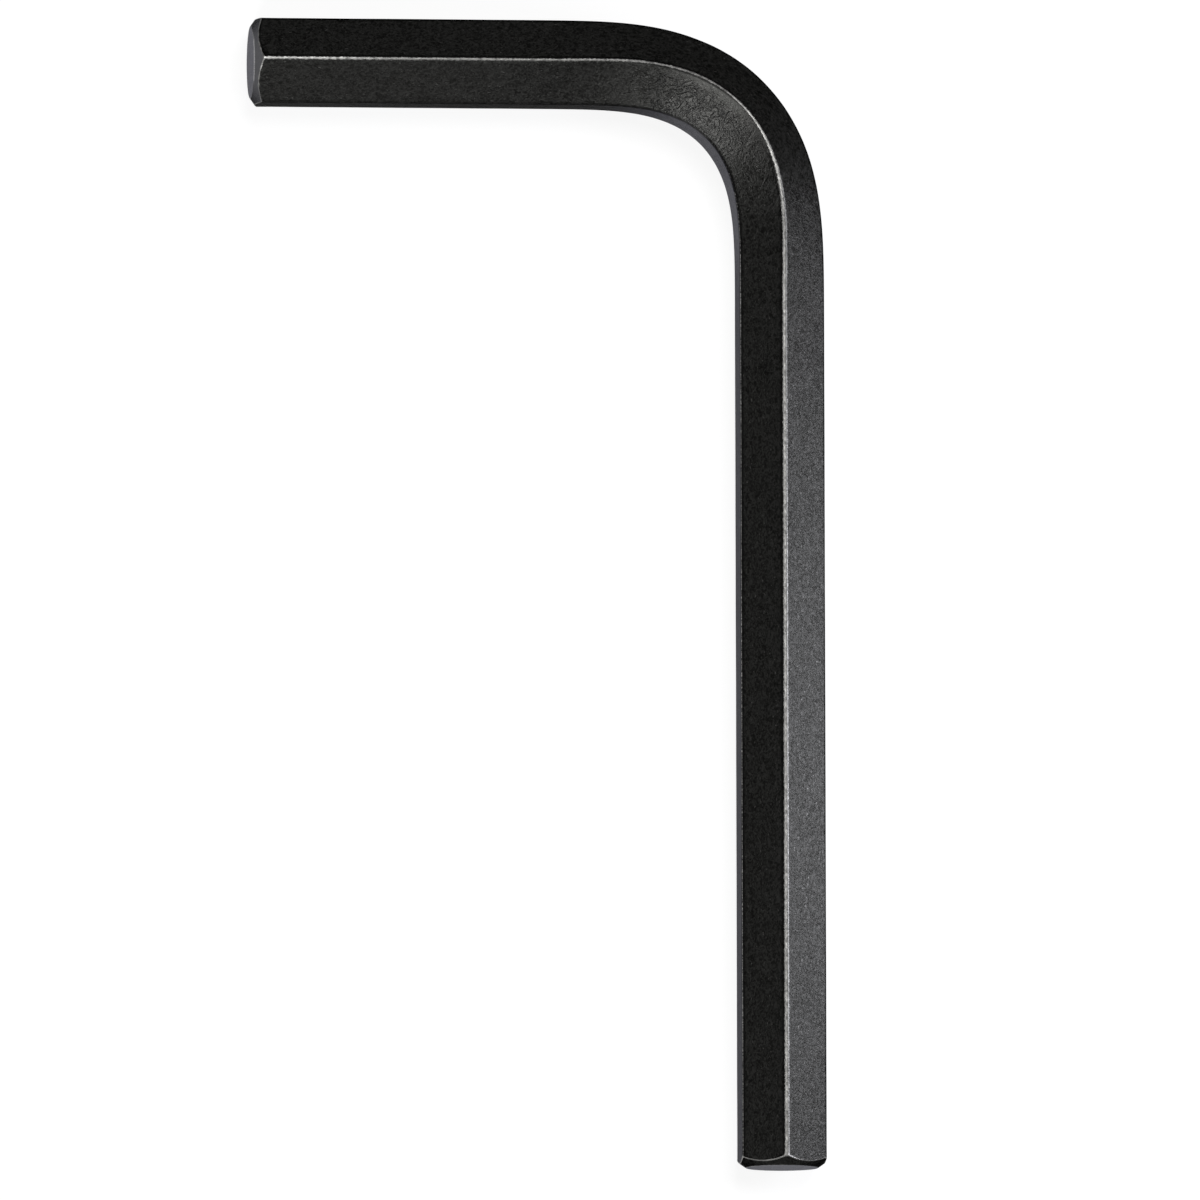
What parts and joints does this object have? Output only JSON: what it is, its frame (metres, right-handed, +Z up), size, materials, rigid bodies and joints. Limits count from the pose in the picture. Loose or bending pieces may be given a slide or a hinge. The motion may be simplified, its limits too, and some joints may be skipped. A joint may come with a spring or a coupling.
{
  "type": "hex key",
  "caption": "L-shaped hex key: a hexagonal steel bar with a right-angle bend, a long arm, a short arm and chamfered tips.",
  "frame": {"origin": "on the surface that the key lies on, below the middle of its outline", "axes": "+Z up, square to the plane of the bend; the short arm points to -X and the long arm to -Y"},
  "size_m": [0.054, 0.108, 0.0091],
  "materials": {
    "black_oxide_steel": "black oxide, with the ridges and the tips worn towards bare steel"
  },
  "bodies": {
    "root": {"hex_key": "black_oxide_steel"}
  },
  "joints": []
}
